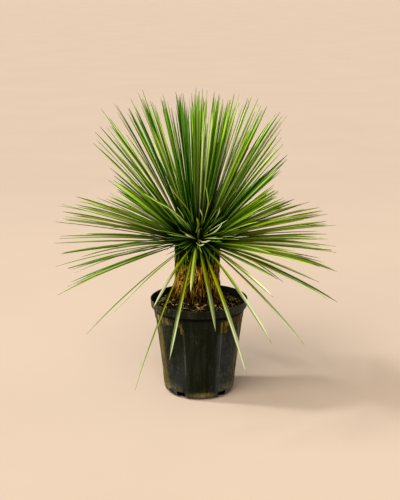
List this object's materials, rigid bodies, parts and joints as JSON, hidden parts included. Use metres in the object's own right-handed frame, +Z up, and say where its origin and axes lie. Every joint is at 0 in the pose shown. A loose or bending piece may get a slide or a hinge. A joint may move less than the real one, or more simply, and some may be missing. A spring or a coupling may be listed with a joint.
{
  "type": "potted yucca",
  "caption": "Yucca with a round head of stiff pointed leaves on a short fibrous trunk, planted in soil in a fluted nursery pot with a flared rim.",
  "frame": {"origin": "on the pot's axis, in the plane that the pot stands on", "axes": "+Z up along the pot's axis, -Y towards the front of the plant, +X to the viewer's right"},
  "size_m": [0.7974, 0.8274, 0.8604],
  "materials": {
    "pot_plastic": "near-black green-grey moulded plastic, dulled by algae and soil dust",
    "soil_mix": "rough dark bark-based potting mix",
    "trunk_fibre": "brown fibrous bark of old leaf bases",
    "leaf_green": "smooth yellow-green leaf with fine lengthwise veins",
    "old_leaf_green": "paler green leaf with fine lengthwise veins"
  },
  "bodies": {
    "root": {"pot": "pot_plastic", "soil": "soil_mix", "trunk": "trunk_fibre", "leaf_01": "leaf_green", "leaf_02": "leaf_green", "leaf_03": "leaf_green", "leaf_04": "leaf_green", "leaf_05": "leaf_green", "leaf_06": "leaf_green", "leaf_07": "leaf_green", "leaf_08": "leaf_green", "leaf_09": "leaf_green", "leaf_10": "leaf_green", "leaf_11": "leaf_green", "leaf_12": "leaf_green", "leaf_13": "leaf_green", "leaf_14": "leaf_green", "leaf_15": "leaf_green", "leaf_16": "leaf_green", "leaf_17": "leaf_green", "leaf_18": "leaf_green", "leaf_19": "leaf_green", "leaf_20": "leaf_green", "leaf_21": "leaf_green", "leaf_22": "leaf_green", "leaf_23": "leaf_green", "leaf_24": "leaf_green", "leaf_25": "leaf_green", "leaf_26": "leaf_green", "leaf_27": "leaf_green", "leaf_28": "leaf_green", "leaf_29": "leaf_green", "drooping_leaf_01": "old_leaf_green", "drooping_leaf_02": "old_leaf_green", "drooping_leaf_03": "old_leaf_green", "drooping_leaf_04": "old_leaf_green", "drooping_leaf_05": "old_leaf_green", "drooping_leaf_06": "old_leaf_green", "drooping_leaf_07": "old_leaf_green", "drooping_leaf_08": "old_leaf_green", "drooping_leaf_09": "old_leaf_green", "drooping_leaf_10": "old_leaf_green", "drooping_leaf_11": "old_leaf_green", "drooping_leaf_12": "old_leaf_green", "drooping_leaf_13": "old_leaf_green", "drooping_leaf_14": "old_leaf_green", "drooping_leaf_15": "old_leaf_green", "drooping_leaf_16": "old_leaf_green", "drooping_leaf_17": "old_leaf_green", "drooping_leaf_18": "old_leaf_green", "drooping_leaf_19": "old_leaf_green", "drooping_leaf_20": "old_leaf_green", "drooping_leaf_21": "old_leaf_green", "drooping_leaf_22": "old_leaf_green", "drooping_leaf_23": "old_leaf_green"}
  },
  "joints": []
}
